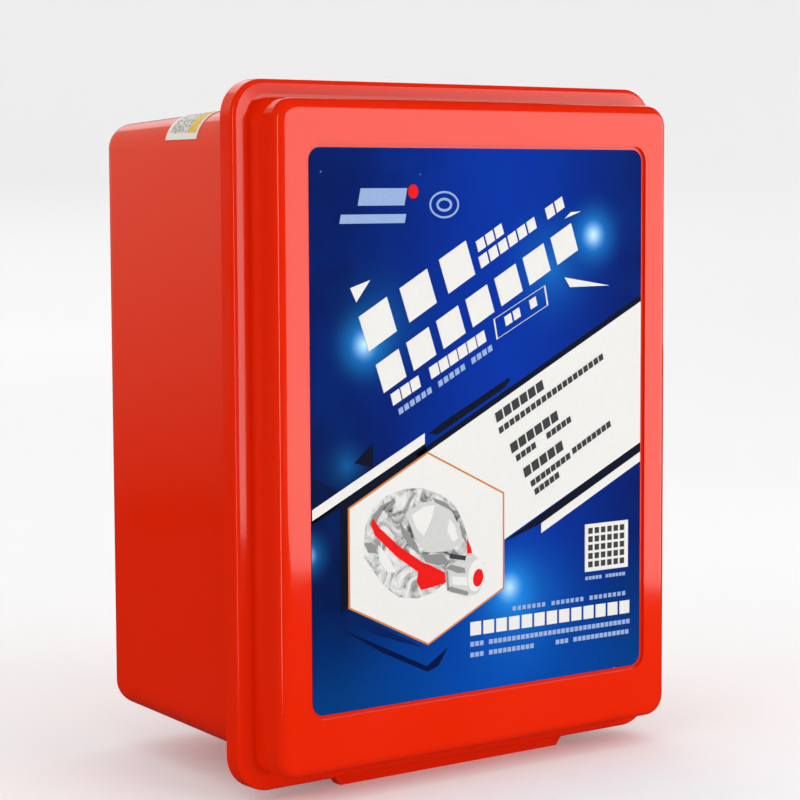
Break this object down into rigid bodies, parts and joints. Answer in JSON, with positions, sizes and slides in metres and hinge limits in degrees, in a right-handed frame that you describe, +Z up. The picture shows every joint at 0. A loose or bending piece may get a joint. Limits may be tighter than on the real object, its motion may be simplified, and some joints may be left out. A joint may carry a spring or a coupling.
{
  "type": "boxed filtering escape hood",
  "caption": "Red wall box with a press-on lid and printed label panel, holding a packed escape hood with filter canister, half mask, visor and straps.",
  "frame": {"origin": "centre of the bounding box's bottom: mid width, mid depth, at the lower edge of the lid's finger tab", "axes": "+Z up, along the box's height; +Y from the lid's face to the case's back, the box's depth; +X to the right as seen from the front"},
  "size_m": [0.148, 0.098, 0.1928],
  "materials": {
    "red_shell": "gloss moulded",
    "label_print": "printed film",
    "sticker_print": "printed paper",
    "leaflet_paper": "uncoated paper",
    "tin": "bright rolled",
    "steel_screen": "perforated",
    "filter_paper": "fibre pleats",
    "carbon": "granular",
    "catalyst": "granular",
    "silicone": "satin",
    "plug_rubber": "satin",
    "frame_plastic": "satin moulded",
    "valve_plastic": "satin moulded",
    "hood_foil": "aluminised, crinkled",
    "visor_film": "clear film",
    "binding_tape": "woven tape",
    "collar_elastic": "ribbed elastic",
    "webbing": "woven",
    "buckle_plastic": "satin moulded"
  },
  "bodies": {
    "case": {"rear_case": "red_shell", "seal_sticker": "sticker_print", "canister_body": "tin", "canister_front_cover": "tin", "canister_rear_cover": "tin", "front_screen": "steel_screen", "particulate_filter": "filter_paper", "carbon_bed": "carbon", "middle_screen": "steel_screen", "catalyst_bed": "catalyst", "rear_screen": "steel_screen", "retaining_ring": "steel_screen", "outlet_gasket": "silicone", "mask_frame": "frame_plastic", "half_mask": "silicone", "inhalation_valve_seat": "valve_plastic", "exhalation_valve_seat": "valve_plastic", "exhalation_valve_cover": "valve_plastic", "hood_body": "hood_foil", "visor": "visor_film", "visor_binding": "binding_tape", "neck_collar": "collar_elastic", "left_head_strap": "webbing", "right_head_strap": "webbing"},
    "lid": {"front_lid": "red_shell", "front_label": "label_print", "instruction_leaflet": "leaflet_paper"},
    "inlet_plug": {"inlet_plug": "plug_rubber"},
    "outlet_plug": {"outlet_plug": "plug_rubber"},
    "inhalation_disc": {"inhalation_valve_disc": "silicone"},
    "exhalation_disc": {"exhalation_valve_disc": "silicone"},
    "left_buckle": {"left_strap_buckle": "buckle_plastic"},
    "right_buckle": {"right_strap_buckle": "buckle_plastic"}
  },
  "joints": [
    {"name": "lid_pull", "type": "slide", "parent": "case", "child": "lid", "axis": [0, -1, 0], "range_m": [0, 0.1]},
    {"name": "inlet_plug_pull", "type": "slide", "parent": "case", "child": "inlet_plug", "axis": [0, -1, 0], "range_m": [0, 0.0066]},
    {"name": "outlet_plug_pull", "type": "slide", "parent": "case", "child": "outlet_plug", "axis": [0, 1, 0], "range_m": [0, 0.012]},
    {"name": "inhalation_valve_lift", "type": "slide", "parent": "case", "child": "inhalation_disc", "axis": [0, 1, 0], "range_m": [0, 0.0011], "stiffness_N_per_m": 20},
    {"name": "exhalation_valve_lift", "type": "slide", "parent": "case", "child": "exhalation_disc", "axis": [0, -1, 0], "range_m": [0, 0.0018], "stiffness_N_per_m": 20},
    {"name": "left_buckle_slide", "type": "slide", "parent": "case", "child": "left_buckle", "axis": [0, 0, 1], "range_m": [-0.022, 0.026]},
    {"name": "right_buckle_slide", "type": "slide", "parent": "case", "child": "right_buckle", "axis": [0, 0, 1], "range_m": [-0.022, 0.026]}
  ]
}
